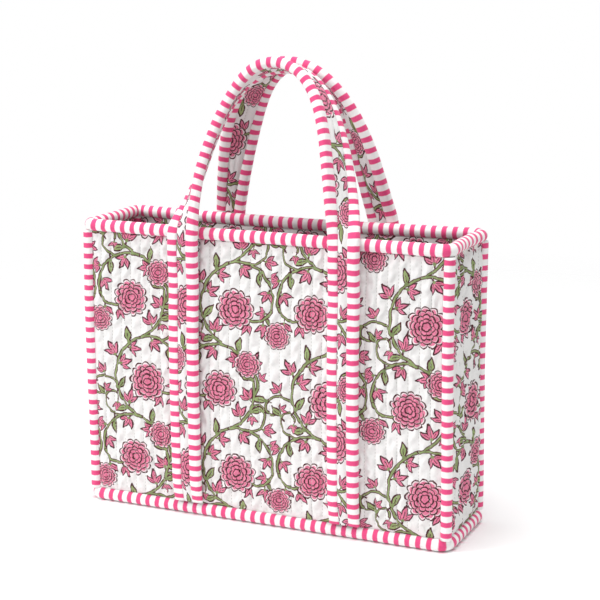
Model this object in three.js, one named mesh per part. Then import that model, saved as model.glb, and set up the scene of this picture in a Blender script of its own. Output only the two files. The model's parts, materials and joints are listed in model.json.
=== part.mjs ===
// Quilted cotton knitting tote: a box-shaped open bag of five quilted panels, with a striped roll bound
// along every edge of the box and two quilted strap handles sewn down its front and back.
// Millimetres, +Z up, origin on the floor under the middle of the bag, front towards -Y.
import * as THREE from "three";

// ---- Driving dimensions ----
const bagLength = 404; // outside, over the side rolls
const bagDepth = 112; // outside, over the front and back rolls
const bagHeight = 298; // floor to the top of the rim roll
const rollWidth = 14; // width across an edge roll
const rollWall = 1.2; // folded striped cloth round a roll
const loopCornerRadius = 10; // plan radius of the rim and base rolls at the bag's corners
const cornerRollInset = 1; // how far a corner roll stands in from the rim roll's line, each way
const cloth = 0.8; // one layer of cotton
const panelWadding = 5.4; // wadding between a panel's two layers
const strapSpacing = 172; // between the middles of a handle's two legs
const legWidth = 32; // strap where it is sewn to the panel
const handleWidth = 42; // strap over the handle
const wideningReach = 0.45; // share of a half handle over which the strap widens
const strapWadding = 3.8; // wadding inside a strap
const bindingWidth = 12; // striped binding folded round a strap's edge, as seen from the front
const bindingWall = 1.3; // thickness of that binding
const bindingChamfer = 1.5; // softened outer corners of that binding
const handleRise = 158; // rim top to the strap's middle at the top of a handle
const handleShoulder = { in: 14, up: 55 }; // pull of the handle's curve just above the rim
const handleCrown = 60; // pull of the handle's curve along its top
const apexSpacing = 43; // between the middles of the two handles where they lean together
const apexShift = 11; // how far that meeting place lies behind the middle of the bag
const clearance = 0.3; // between layers that touch
const strapEase = 0.5; // the same inside a strap, whose layers twist

// ---- Sizes that follow from them ----
const rollHalf = rollWidth / 2;
const rollSides = 12;
const rollCorner = rollHalf / Math.cos(Math.PI / rollSides); // centre to a corner of the roll's outline
const halfLength = bagLength / 2 - rollHalf; // to the middle line of the side rolls
const halfDepth = bagDepth / 2 - rollHalf;
const rimHeight = bagHeight - rollHalf; // middle line of the rim roll
const baseHeight = rollHalf;
const cornerRoll = { x: halfLength - cornerRollInset, y: halfDepth - cornerRollInset };
const panelThickness = panelWadding + 2 * (cloth + clearance);
const panelFoot = baseHeight + rollCorner + clearance;
const panelHead = rimHeight - rollCorner - clearance;
const strapBody = strapWadding + 2 * (cloth + strapEase); // wadding and both cloths
const strapThickness = strapBody + 2 * (strapEase + bindingWall);
const legOnPanel = halfDepth + panelThickness / 2 + clearance + strapThickness / 2;
const legOverRim = halfDepth + rollCorner + clearance + strapThickness / 2;
const overRimFrom = rimHeight - rollWidth; // a leg stands fully clear of the rim roll above here
const onPanelTo = overRimFrom - 3 * rollWidth; // and lies on the panel below here

// ---- Cloth and colours ----
const finishes = {
  print: { color: 0xf1dfe0, roughness: 0.88 },
  lining: { color: 0xeedadb, roughness: 0.9 },
  stripe: { color: 0xef8fb2, roughness: 0.85 },
  wadding: { color: 0xf6f3ec, roughness: 0.97 },
  cord: { color: 0xe9e4d8, roughness: 0.95 },
};

const tote = new THREE.Group();

function mesh(name, geometry, finish) {
  const made = new THREE.Mesh(geometry, new THREE.MeshStandardMaterial({ ...finishes[finish], metalness: 0 }));
  made.name = name;
  return made;
}

// A closed solid swept through stations. Each station has a place and the two axes of its section;
// outlineAt gives the section there, anticlockwise, with across x out pointing along the travel.
function sweep(outlineAt, stations, closed = false) {
  const outlines = stations.map(outlineAt);
  const sides = outlines[0].length;
  const places = stations.flatMap((station, i) =>
    outlines[i].map((p) =>
      station.place.clone().addScaledVector(station.across, p.x).addScaledVector(station.out, p.y),
    ),
  );
  const faces = [];
  const spans = closed ? stations.length : stations.length - 1;
  for (let i = 0; i < spans; i++) {
    const here = i * sides;
    const next = ((i + 1) % stations.length) * sides;
    for (let j = 0; j < sides; j++) {
      const k = (j + 1) % sides;
      // Every strip is split the same way, low side to high side, so that layers lie flat on each other.
      const step = outlines[i][k].clone().sub(outlines[i][j]);
      if (step.x > 0 || (step.x === 0 && step.y > 0))
        faces.push(here + j, here + k, next + k, here + j, next + k, next + j);
      else faces.push(here + j, here + k, next + j, here + k, next + k, next + j);
    }
  }
  if (!closed) {
    const last = (stations.length - 1) * sides;
    for (const [a, b, c] of THREE.ShapeUtils.triangulateShape(outlines[0], [])) faces.push(a, c, b);
    for (const [a, b, c] of THREE.ShapeUtils.triangulateShape(outlines.at(-1), []))
      faces.push(last + a, last + b, last + c);
  }
  const geometry = new THREE.BufferGeometry().setFromPoints(places);
  geometry.setIndex(faces);
  geometry.computeVertexNormals();
  return geometry;
}

// ---- Quilted panels: printed cloth, wadding and lining ----
function quiltedPanel(name, width, height) {
  const panel = new THREE.Group();
  const layers = [
    ["print", cloth, panelThickness / 2 - cloth / 2, "print"],
    ["wadding", panelWadding, 0, "wadding"],
    ["lining", cloth, cloth / 2 - panelThickness / 2, "lining"],
  ];
  for (const [layer, thickness, z, finish] of layers) {
    const piece = mesh(`${name}_${layer}`, new THREE.BoxGeometry(width, height, thickness), finish);
    piece.position.z = z;
    panel.add(piece);
  }
  return panel;
}

const frontWidth = 2 * (cornerRoll.x - rollCorner - clearance);
const sideWidth = 2 * (cornerRoll.y - rollCorner - clearance);
const walls = [
  ["front_panel", frontWidth, halfDepth, 0],
  ["right_panel", sideWidth, halfLength, 1],
  ["back_panel", frontWidth, halfDepth, 2],
  ["left_panel", sideWidth, halfLength, 3],
];
for (const [name, width, distance, quarterTurns] of walls) {
  const panel = quiltedPanel(name, width, panelHead - panelFoot);
  panel.rotation.x = Math.PI / 2;
  panel.position.set(0, -distance, (panelHead + panelFoot) / 2);
  const facing = new THREE.Group().add(panel);
  facing.rotation.z = (quarterTurns * Math.PI) / 2;
  tote.add(facing);
}

// The base panel's square corners clear the inside of the base roll's round ones.
const baseInset = loopCornerRadius - (loopCornerRadius - rollCorner - clearance) / Math.SQRT2;
const base = quiltedPanel("base_panel", 2 * (halfLength - baseInset), 2 * (halfDepth - baseInset));
base.rotation.x = Math.PI;
base.position.z = panelThickness / 2;
tote.add(base);

// ---- Edge rolls: striped cloth folded round a filler cord, open along the seam ----
// The outline is a regular polygon; the facet at seamAngle is left out, and the cloth turns back inside.
function rollOutline(seamAngle) {
  const step = (2 * Math.PI) / rollSides;
  const ring = (half, from, turns) =>
    Array.from({ length: rollSides }, (_, i) => {
      const angle = from + turns * i * step;
      const reach = half / Math.cos(step / 2);
      return new THREE.Vector2(reach * Math.cos(angle), reach * Math.sin(angle));
    });
  const afterSeam = seamAngle + step / 2;
  return [...ring(rollHalf, afterSeam, 1), ...ring(rollHalf - rollWall, afterSeam - step, -1)];
}

function cordOutline() {
  const reach = rollHalf - rollWall - clearance;
  return Array.from({ length: rollSides }, (_, i) => {
    const angle = ((i + 0.5) / rollSides) * 2 * Math.PI;
    return new THREE.Vector2(reach * Math.cos(angle), reach * Math.sin(angle));
  });
}

// Stations round the bag at one height, clockwise from above, with `across` pointing outwards.
function roundTheBag(height) {
  const stations = [];
  const cornerSteps = 4;
  for (let corner = 0; corner < 4; corner++) {
    const turn = -corner * 0.5 * Math.PI;
    const sx = [1, 1, -1, -1][corner];
    const sy = [1, -1, -1, 1][corner];
    for (let i = 0; i <= cornerSteps; i++) {
      const angle = Math.PI / 2 + turn - (i / cornerSteps) * (Math.PI / 2);
      const across = new THREE.Vector3(Math.cos(angle), Math.sin(angle), 0);
      const middle = new THREE.Vector3(
        sx * (halfLength - loopCornerRadius), sy * (halfDepth - loopCornerRadius), height);
      const place = middle.addScaledVector(across, loopCornerRadius);
      stations.push({ place, across, out: new THREE.Vector3(0, 0, 1) });
    }
  }
  return stations;
}

const rim = { height: rimHeight, seam: -Math.PI / 2 };
const foot = { height: baseHeight, seam: (5 * Math.PI) / 6 };
for (const [name, loop] of Object.entries({ rim, base: foot })) {
  const stations = roundTheBag(loop.height);
  tote.add(mesh(`${name}_binding`, sweep(() => rollOutline(loop.seam), stations, true), "stripe"));
  tote.add(mesh(`${name}_filler_cord`, sweep(cordOutline, stations, true), "cord"));
}

const corners = { front_right: [1, -1], back_right: [1, 1], back_left: [-1, 1], front_left: [-1, -1] };
for (const [name, [sx, sy]] of Object.entries(corners)) {
  const stations = [panelFoot, panelHead].map((height) => ({
    place: new THREE.Vector3(sx * cornerRoll.x, sy * cornerRoll.y, height),
    across: new THREE.Vector3(sx, 0, 0),
    out: new THREE.Vector3(0, sx, 0),
  }));
  // The seam faces the inside of the bag, one facet off the diagonal.
  const seam = sx * sy > 0 ? (7 * Math.PI) / 6 : (5 * Math.PI) / 6;
  tote.add(mesh(`${name}_corner_binding`, sweep(() => rollOutline(seam), stations), "stripe"));
  tote.add(mesh(`${name}_corner_filler_cord`, sweep(cordOutline, stations), "cord"));
}

// ---- Straps: printed face, wadding and backing, with a striped binding folded round each edge ----
// Sections are drawn across the strap, x towards the handle's outer edge and y out of its printed face.
// A layer has points where the bindings' lips are, so that it twists exactly as they do.
function layerOutline(half, low, high) {
  const edge = half - bindingWall - strapEase;
  const lip = half - bindingWidth;
  const line = [-edge, -lip, 0, lip, edge];
  return [
    ...line.map((x) => new THREE.Vector2(x, low)),
    ...line.toReversed().map((x) => new THREE.Vector2(x, high)),
  ];
}

const strapSections = {
  face: (half) => layerOutline(half, strapBody / 2 - cloth, strapBody / 2),
  wadding: (half) => layerOutline(half, -strapWadding / 2, strapWadding / 2),
  backing: (half) => layerOutline(half, -strapBody / 2, cloth - strapBody / 2),
  outer_binding: (half) => bindingOutline(half),
  inner_binding: (half) => bindingOutline(half).map((p) => new THREE.Vector2(-p.x, p.y)).reverse(),
};
const strapFinishes = {
  face: "print", wadding: "wadding", backing: "lining", outer_binding: "stripe", inner_binding: "stripe",
};

function bindingOutline(half) {
  const lip = half - bindingWidth;
  const top = strapThickness / 2;
  const turn = bindingChamfer;
  const inside = top - bindingWall;
  return [
    [lip, -top], [half - turn, -top], [half, turn - top], [half, top - turn], [half - turn, top], [lip, top],
    [lip, inside], [half - bindingWall, inside], [half - bindingWall, -inside], [lip, -inside],
  ].map(([x, y]) => new THREE.Vector2(x, y));
}

function addStrap(prefix, stations, group) {
  for (const [piece, section] of Object.entries(strapSections)) {
    const geometry = sweep((station) => section(station.half), stations);
    group.add(mesh(`${prefix}_${piece}`, geometry, strapFinishes[piece]));
  }
}

// A leg runs up the panel from the base roll and steps out over the rim roll, face to the front. `aside` is
// how far its strap is sewn to the right of the panel's middle.
function legStations(side, aside) {
  const route = [
    [legOnPanel, panelFoot], [legOnPanel, onPanelTo], [legOverRim, overRimFrom],
    [legOverRim, bagHeight - clearance],
  ];
  return route.map(([y, z]) => ({
    place: new THREE.Vector3((side * strapSpacing) / 2 + aside, -y, z),
    across: new THREE.Vector3(side, 0, 0),
    out: new THREE.Vector3(0, -1, 0),
    half: legWidth / 2,
  }));
}

// A handle runs from its left leg over to its right leg. It leans in over the bag to `apexY`, and each half
// turns a quarter, so that its inner edge comes to the outside. `turning` is how soon that happens, `drop`
// how much lower the top sits, and `dip` how steeply the outer edge falls away there.
function handleStations({ aside, apexY, turning, drop, dip }) {
  const pull = (apexY - legOverRim) / 2;
  const top = bagHeight + handleRise - drop;
  const half = new THREE.CubicBezierCurve3(
    new THREE.Vector3(strapSpacing / 2, -legOverRim, bagHeight + clearance),
    new THREE.Vector3(strapSpacing / 2 - handleShoulder.in, pull, bagHeight + handleShoulder.up),
    new THREE.Vector3(handleCrown, apexY, top),
    new THREE.Vector3(0, apexY, top),
  );
  const halfSteps = 22;
  const stations = [];
  for (let i = -halfSteps; i <= halfSteps; i++) {
    const side = Math.sign(i) || 1;
    const t = 1 - Math.abs(i) / halfSteps;
    const mirror = new THREE.Vector3(side, 1, 1);
    const place = half.getPoint(t).multiply(mirror);
    place.x += aside;
    const travel = half.getTangent(t).multiply(mirror).multiplyScalar(-side).normalize();
    const turned = (Math.PI / 2) * (1 - (1 - t) ** turning);
    const across = new THREE.Vector3(side * Math.cos(turned), Math.sin(turned), -dip * Math.sin(turned) ** 2);
    if (t === 0) travel.set(0, 0, -side);
    across.addScaledVector(travel, -across.dot(travel)).normalize();
    const out = travel.clone().cross(across);
    const widened = Math.min(1, t / wideningReach);
    const width = legWidth + (handleWidth - legWidth) * widened;
    stations.push({ place, across, out, half: width / 2 });
  }
  return stations;
}

// Both handles are drawn as the front one; the back one is then turned half way round.
const handles = {
  front: {
    halfTurns: 0, left: "left", right: "right", aside: 6,
    apexY: apexShift - apexSpacing / 2, turning: 3, drop: 0, dip: 0,
  },
  back: {
    halfTurns: 1, left: "right", right: "left", aside: 0,
    apexY: -apexShift - apexSpacing / 2, turning: 1, drop: 3, dip: -0.2,
  },
};
for (const [name, handle] of Object.entries(handles)) {
  const strap = new THREE.Group();
  for (const [local, side] of [["left", -1], ["right", 1]]) {
    const stations = legStations(side, handle.aside);
    if (side > 0) stations.reverse();
    addStrap(`${name}_${handle[local]}_leg`, stations, strap);
  }
  addStrap(`${name}_handle`, handleStations(handle), strap);
  strap.rotation.z = handle.halfTurns * Math.PI;
  tote.add(strap);
}

export default tote;
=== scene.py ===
"""The looks of a quilted cotton knitting tote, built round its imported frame.

Five quilted panels, a striped roll along every edge of the box, and two padded strap handles. Metres, +Z up,
front towards -Y, origin on the floor under the middle of the bag.
"""

import json
import math

import bpy
import numpy as np
from bpy.props import FloatProperty, FloatVectorProperty, PointerProperty
from mathutils import Matrix, Vector


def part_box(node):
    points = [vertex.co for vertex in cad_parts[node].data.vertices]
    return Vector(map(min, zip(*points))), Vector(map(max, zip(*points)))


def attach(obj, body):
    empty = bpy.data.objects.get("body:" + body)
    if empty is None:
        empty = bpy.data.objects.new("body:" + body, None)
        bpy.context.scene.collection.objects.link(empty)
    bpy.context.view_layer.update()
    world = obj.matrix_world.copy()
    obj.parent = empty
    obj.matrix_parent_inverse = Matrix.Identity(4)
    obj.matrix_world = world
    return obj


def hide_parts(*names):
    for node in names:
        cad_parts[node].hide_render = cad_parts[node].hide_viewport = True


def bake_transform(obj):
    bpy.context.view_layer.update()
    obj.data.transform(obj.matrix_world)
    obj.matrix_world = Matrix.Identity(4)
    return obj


bl_info = {
    "name": "Quilted Knitting Tote",
    "version": (1, 0, 0),
    "blender": (4, 5, 0),
    "location": "3D View > Sidebar > Knitting Tote",
    "description": "Builds the padded, bound and printed cloth of a quilted knitting tote round its frame",
    "category": "Object",
}

MM = 0.001

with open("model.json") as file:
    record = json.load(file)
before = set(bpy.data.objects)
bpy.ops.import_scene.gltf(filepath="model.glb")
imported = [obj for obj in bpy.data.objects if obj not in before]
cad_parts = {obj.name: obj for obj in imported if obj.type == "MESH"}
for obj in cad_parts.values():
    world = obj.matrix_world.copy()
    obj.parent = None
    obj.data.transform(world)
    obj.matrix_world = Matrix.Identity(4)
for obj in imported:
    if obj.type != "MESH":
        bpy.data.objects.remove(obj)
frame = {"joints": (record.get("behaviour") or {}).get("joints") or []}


def outer_size(node):
    """Length, depth and height of a frame node."""
    low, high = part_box(node)
    return high - low


RIM_LOW, RIM_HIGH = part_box("rim_binding")
ROLL_WIDTH = RIM_HIGH.z - RIM_LOW.z
LEG_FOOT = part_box("front_right_leg_wadding")[0].z


# ---- Sizes and colours ----
class ToteSizes(bpy.types.PropertyGroup):
    """Sizes of the sewn cloth."""

    channel: FloatProperty(name="Channel", description="Width of one quilted channel",
                           default=11 * MM, unit="LENGTH")
    puff: FloatProperty(name="Puff", description="How far a channel rises over its stitch lines",
                        default=2.3 * MM, unit="LENGTH")
    lean: FloatProperty(name="Lean", description="How far the front and back sink in at the rim",
                        default=5 * MM, unit="LENGTH")
    belly: FloatProperty(name="Belly", description="How far the walls bulge out lower down",
                         default=2.5 * MM, unit="LENGTH")
    binding: FloatProperty(name="Binding", description="Width of a strap's striped edge",
                           default=12 * MM, unit="LENGTH")
    stitch: FloatProperty(name="Stitch", description="Length of one stitch and the gap after it",
                          default=3.4 * MM, unit="LENGTH")
    stripe: FloatProperty(name="Stripe", description="Width of one coloured and one white stripe together",
                          default=11 * MM, unit="LENGTH")
    thread: FloatProperty(name="Thread", description="Spacing of the weave's threads",
                          default=0.55 * MM, unit="LENGTH")


class ToteColours(bpy.types.PropertyGroup):
    """Colours of the cloth and thread."""

    ground: FloatVectorProperty(name="Ground", description="Unprinted cotton", subtype="COLOR", size=3,
                                default=(0.92, 0.91, 0.90))
    petal: FloatVectorProperty(name="Petal", description="Printed flowers", subtype="COLOR", size=3,
                               default=(0.77, 0.18, 0.315))
    leaf: FloatVectorProperty(name="Leaf", description="Printed vines and leaves", subtype="COLOR", size=3,
                              default=(0.225, 0.29, 0.115))
    outline: FloatVectorProperty(name="Outline", description="Printed outlines", subtype="COLOR", size=3,
                                 default=(0.075, 0.015, 0.022))
    stripe: FloatVectorProperty(name="Stripe", description="Coloured stripe of the bindings",
                                subtype="COLOR", size=3, default=(0.80, 0.065, 0.225))
    thread: FloatVectorProperty(name="Thread", description="Quilting thread", subtype="COLOR", size=3,
                                default=(0.60, 0.58, 0.56))


def sizes():
    return bpy.context.scene.tote_sizes


def colours():
    return bpy.context.scene.tote_colours


# ---- Plan of the bag, from the frame ----
ROLL = ROLL_WIDTH / 2
HALF_LENGTH = RIM_HIGH.x - ROLL
HALF_DEPTH = RIM_HIGH.y - ROLL
RIM_TOP = RIM_HIGH.z
WALL = outer_size("front_panel_wadding").y + 2 * outer_size("front_panel_print").y


def smooth(t):
    t = np.clip(t, 0, 1)
    return t * t * (3 - 2 * t)


def ripple(a, b, wavelength, seed, waves=7):
    """Soft unevenness from -1 to 1 over two coordinates, the same each time."""
    rng = np.random.default_rng(seed)
    total = np.zeros(np.broadcast(a, b).shape)
    for _ in range(waves):
        heading, phase = rng.uniform(0, 2 * np.pi, 2)
        length = wavelength * rng.uniform(0.7, 1.5)
        total += np.sin((a * math.cos(heading) + b * math.sin(heading)) * 2 * np.pi / length + phase)
    return total / math.sqrt(waves)


SETTLE_FADE, RIM_SAG, RIM_WANDER = 90 * MM, 1.6 * MM, 0.9 * MM


def settle(places):
    """Where the soft bag's points come to rest: walls sink in at the rim and bulge lower down."""
    x, y, z = np.moveaxis(np.array(places, float), -1, 0)
    up = np.clip(z / RIM_TOP, 0, 1)
    fade = 1 - smooth((z - RIM_TOP) / SETTLE_FADE)
    on_face = np.clip(np.abs(y) / HALF_DEPTH, 0, 1) * np.sign(y)
    on_end = np.clip(np.abs(x) / HALF_LENGTH, 0, 1) ** 3 * np.sign(x)
    along = np.cos(np.clip(x / HALF_LENGTH, -1, 1) * np.pi / 2)
    across = np.cos(np.clip(y / HALF_DEPTH, -1, 1) * np.pi / 2)
    bulge = np.sin(np.pi * np.clip(up * 1.1, 0, 1))
    push = sizes().belly * bulge - sizes().lean * up**2
    y_new = y + on_face * along * push * fade
    x_new = x + on_end * across * 0.6 * push * fade
    z_new = z - RIM_SAG * along * up**3 * fade
    wander = RIM_WANDER * up * fade
    x_new = x_new + wander * ripple(z, y, 260 * MM, 3)
    y_new = y_new + wander * ripple(x, z, 240 * MM, 4)
    return np.stack([x_new, y_new, z_new], -1)


# ---- Meshes ----
def skin(name, rings, flat, finishes, strips=None, closed=False):
    """A closed skin through rings of points. Ring point k faces point -1-k across a thin section.
    flat is the cloth's own lengths at the points, one more than the ring has, for the UV map."""
    count, sides = rings.shape[:2]
    spans = count if closed else count - 1
    i, j = np.meshgrid(np.arange(spans), np.arange(sides), indexing="ij")
    i2, j2 = (i + 1) % count, (j + 1) % sides
    faces = np.stack([i * sides + j, i * sides + j2, i2 * sides + j2, i2 * sides + j], -1).reshape(-1, 4)
    places = np.stack([flat[i, j], flat[i, j + 1], flat[i + 1, j + 1], flat[i + 1, j]], 2).reshape(-1, 4, 2)
    paint = np.tile(np.zeros(sides, int) if strips is None else strips, spans)
    if not closed:
        k = np.arange(sides // 2 - 1)
        last = (count - 1) * sides
        first_cap = np.stack([k + 1, k, sides - 1 - k, sides - 2 - k], -1)
        last_cap = np.stack([k, k + 1, sides - 2 - k, sides - 1 - k], -1) + last
        faces = np.concatenate([faces, first_cap, last_cap])
        ends = [flat[0][first_cap], flat[-1][last_cap - last]]
        places = np.concatenate([places, *ends])
        paint = np.concatenate([paint, np.zeros(2 * len(k), int)])
    points = rings.reshape(-1, 3)
    a, b, c, d = (points[faces[:, q]] for q in range(4))
    if (a * np.cross(b, c)).sum() + (a * np.cross(c, d)).sum() < 0:
        faces, places = faces[:, ::-1], places[:, ::-1]
    mesh = bpy.data.meshes.new(name)
    mesh.from_pydata(points.tolist(), [], faces.tolist())
    mesh.uv_layers.new(name="flat").data.foreach_set("uv", places.reshape(-1).astype(np.float32))
    for finish in finishes:
        mesh.materials.append(finish)
    mesh.polygons.foreach_set("material_index", paint.astype(np.int32))
    mesh.polygons.foreach_set("use_smooth", np.ones(len(faces), bool))
    mesh.validate()
    made = bpy.data.objects.new(name, mesh)
    bpy.context.scene.collection.objects.link(made)
    return made


def lengths(points):
    """How far along a line of points each one is."""
    steps = np.linalg.norm(np.diff(points, axis=0), axis=1)
    return np.concatenate([[0], np.cumsum(steps)])


def blur(values, width):
    """The values with each one averaged with its neighbours, ends kept."""
    kernel = np.hanning(width + 2)[1:-1]
    kernel /= kernel.sum()
    half = width // 2
    before = 2 * values[0] - values[half:0:-1]
    after = 2 * values[-1] - values[-2 : -half - 2 : -1]
    padded = np.concatenate([before, values, after])
    return np.stack([np.convolve(padded[:, k], kernel, "valid") for k in range(values.shape[1])], 1)


# ---- Finishes ----
class Wire:
    """A node's output, on which sums can be written."""

    def __init__(self, tree, socket):
        self.tree, self.socket = tree, socket

    def _maths(self, operation, *inputs):
        node = self.tree.nodes.new("ShaderNodeMath")
        node.operation = operation
        for k, value in enumerate(inputs):
            if isinstance(value, Wire):
                self.tree.links.new(value.socket, node.inputs[k])
            else:
                node.inputs[k].default_value = value
        return Wire(self.tree, node.outputs[0])

    def __add__(self, other):
        return self._maths("ADD", self, other)

    def __sub__(self, other):
        return self._maths("SUBTRACT", self, other)

    def __mul__(self, other):
        return self._maths("MULTIPLY", self, other)

    def __truediv__(self, other):
        return self._maths("DIVIDE", self, other)

    def __radd__(self, other):
        return self._maths("ADD", other, self)

    def __rsub__(self, other):
        return self._maths("SUBTRACT", other, self)

    def __rmul__(self, other):
        return self._maths("MULTIPLY", other, self)

    def __rtruediv__(self, other):
        return self._maths("DIVIDE", other, self)

    def __abs__(self):
        return self._maths("ABSOLUTE", self)

    def __lt__(self, other):
        return self._maths("LESS_THAN", self, other)

    def __gt__(self, other):
        return self._maths("GREATER_THAN", self, other)

    def least(self, other):
        return self._maths("MINIMUM", self, other)

    def most(self, other):
        return self._maths("MAXIMUM", self, other)

    def sine(self):
        return self._maths("SINE", self)

    def cosine(self):
        return self._maths("COSINE", self)

    def bearing(self, x):
        return self._maths("ARCTAN2", self, x)

    def power(self, exponent):
        return self._maths("POWER", self, exponent)

    def fraction(self):
        return self._maths("FRACT", self)

    def clamp(self):
        node = self.tree.nodes.new("ShaderNodeClamp")
        self.tree.links.new(self.socket, node.inputs[0])
        return Wire(self.tree, node.outputs[0])


class Finish:
    """A material's node tree."""

    def __init__(self, name):
        self.material = bpy.data.materials.new(name)
        self.material.use_nodes = True
        self.nodes, self.links = self.material.node_tree.nodes, self.material.node_tree.links
        self.shader = self.nodes["Principled BSDF"]

    def node(self, kind, settings=None, output=0, **inputs):
        """One node of that type: its settings first, then its sockets' values or links by name."""
        made = self.nodes.new("ShaderNode" + kind)
        for key, value in (settings or {}).items():
            setattr(made, key, value)
        for key, value in inputs.items():
            socket = made.inputs[int(key[1:])] if key[0] == "i" and key[1:].isdigit() else made.inputs[key]
            if isinstance(value, Wire):
                self.links.new(value.socket, socket)
            else:
                socket.default_value = value
        return Wire(self.material.node_tree, made.outputs[output])

    def set(self, **inputs):
        """Values or links of the shader, with _ for each space in a socket's name."""
        for key, value in inputs.items():
            socket = self.shader.inputs[key.replace("_", " ")]
            if isinstance(value, Wire):
                self.links.new(value.socket, socket)
            else:
                socket.default_value = value

    def mix(self, factor, first, second):
        """A blend of two colours."""
        return self.node("Mix", {"data_type": "RGBA"}, output=2, i0=factor, i6=rgba(first), i7=rgba(second))

    def noise(self, vector, scale, detail=2.0, output=0):
        return self.node("TexNoise", output=output, Vector=vector, Scale=scale, Detail=detail)

    def bump(self, height, distance, strength=1.0):
        normal = self.node("Bump", Strength=strength, Distance=distance, Height=height)
        self.links.new(normal.socket, self.shader.inputs["Normal"])

    def flat(self):
        """The cloth's own two lengths, in millimetres."""
        coordinate = self.node("TexCoord", output=2)
        return self.vector("SCALE", coordinate, scale=1000.0)

    def parts(self, vector):
        split = self.node("SeparateXYZ", i0=vector)
        node = split.socket.node
        return Wire(self.material.node_tree, node.outputs[0]), Wire(self.material.node_tree, node.outputs[1])

    def vector(self, operation, first, second=None, third=None, scale=None, output=0):
        inputs = {"i0": first}
        if second is not None:
            inputs["i1"] = second
        if third is not None:
            inputs["i2"] = third
        if scale is not None:
            inputs["i3"] = scale
        return self.node("VectorMath", {"operation": operation}, output=output, **inputs)


def rgba(colour):
    return colour if isinstance(colour, Wire) else (*colour[:3], 1.0)


def weave(x, y, spacing):
    """Height of a plain weave from 0 to 1, over the cloth's lengths in millimetres."""
    turn = math.pi / (spacing / MM)
    warp, weft = abs((x * turn).sine()), abs((y * turn).sine())
    return warp * weft


# The print repeats over this width, a half drop at each step, and this height, in millimetres.
REPEAT = (100.0, 168.0)
# Its stem starts at x, y, heading, and bends by (radius, degrees to the left).
STEM_START, STEM_BENDS, STEM_WIDTH = (55.0, 0.0, 20.0), ((44.7, 140), (44.7, -140)), 2.7
# A branch's half width, as a share of the stem's width, where it bears a peony and where it ends in a curl.
BEARING_BRANCH, CURLING_BRANCH = 0.45, 0.38
# How far ahead of its stem's end a peony's middle lies, in its own size.
PEONY_AHEAD = 0.8
# Branches: the line each leaves and its bend (the stem is line 0, these follow), the share along it, degrees off
# it, its own bends, and the peony it bears, or 0 where it ends in a curl.
BRANCHES = (
    (0, 0, 0.0, 0, ((36.0, -125), (17.0, -105)), 20.5),
    (0, 1, 0.0, 0, ((34.5, 122), (16.0, 105)), 19.0),
    (0, 0, 0.46, -34, ((17.0, 80),), 14.0),
    (1, 0, 0.30, 14, ((17.0, 115), (7.5, 170)), 0),
    (0, 1, 0.40, 16, ((17.0, 118), (7.5, 170)), 0),
    (2, 0, 0.34, -12, ((15.0, -120), (7.0, -170)), 0),
    (1, 1, 0.30, 62, ((24.0, 24),), 13.5),
)
# Sprigs: the line and its bend, the share along it, degrees off it, size in millimetres, and whether it is a leaf.
SPRIGS = (
    (0, 0, 0.16, 60, 18, 0), (0, 0, 0.30, -50, 11, 1), (0, 0, 0.38, 52, 17, 0), (0, 0, 0.60, 58, 12, 1),
    (0, 0, 0.70, -55, 18, 0), (0, 0, 0.82, 54, 16, 0), (0, 0, 0.88, -60, 12, 1), (0, 1, 0.16, 56, 12, 1),
    (0, 1, 0.16, -58, 18, 0), (0, 1, 0.36, -54, 12, 1), (0, 1, 0.60, -56, 17, 0), (0, 1, 0.66, 54, 18, 0),
    (0, 1, 0.82, -52, 16, 0), (0, 1, 0.86, 56, 12, 1), (1, 0, 0.14, -54, 17, 0), (1, 0, 0.46, -54, 11, 1),
    (1, 0, 0.58, 50, 15, 0), (1, 0, 0.72, -50, 16, 0), (1, 1, 0.15, -60, 14, 0),
    (1, 1, 0.40, 52, 17, 0), (1, 1, 0.88, 74, 16, 0), (2, 0, 0.16, 54, 17, 0), (2, 0, 0.48, 54, 11, 1),
    (2, 0, 0.62, -50, 15, 0), (2, 0, 0.76, 50, 16, 0), (2, 1, 0.40, -52, 17, 0),
    (2, 1, 0.88, -74, 16, 0), (3, 0, 0.60, -52, 12, 0), (4, 0, 0.40, -50, 15, 0), (4, 0, 0.95, 60, 10, 1),
    (5, 0, 0.45, -50, 15, 0), (5, 0, 0.95, -60, 12, 1), (6, 0, 0.95, 60, 11, 1),
    (4, 1, 0.98, 0, 12, 0), (5, 1, 0.98, 0, 12, 0), (6, 1, 0.98, 0, 12, 0),
)
# The two kinds of sprig, told apart by the third coordinate of their place, and how much each is enlarged.
BUD, LEAF = 0.0, 0.01
BUD_GROWTH, LEAF_GROWTH = 1.14, 1.4
# How far a sprig's middle lies ahead of its spot, where its outline ends and its fill starts, and how big its
# calyx is, in its own size; and the angle between a bud's petals.
SPRIG_MIDDLE, SPRIG_LINE, SPRIG_FILL, CALYX, PETAL_SPREAD = 0.45, 0.06, -0.045, 0.13, 0.80
# Layers of a peony's petals: radius in its own size, petals, and how far they are turned; and half its line's width.
PEONY_LAYERS = ((0.2, 5, 0.9), (0.4, 7, 0.3), (0.6, 9, 1.2), (0.8, 11, 0.5), (1.0, 13, 0.0))
PEONY_LINE = 0.037
# Where the vine's outline ends, and its green and its paler middle start, from its edge, in millimetres.
VINE_LINE, VINE_GREEN, VINE_FRESH = 0.45, -0.35, -0.8
# How far the whole print drifts over the cloth, and how far the cut block's lines waver, in millimetres.
DRIFT, CUT = 3.0, 0.7


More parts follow.
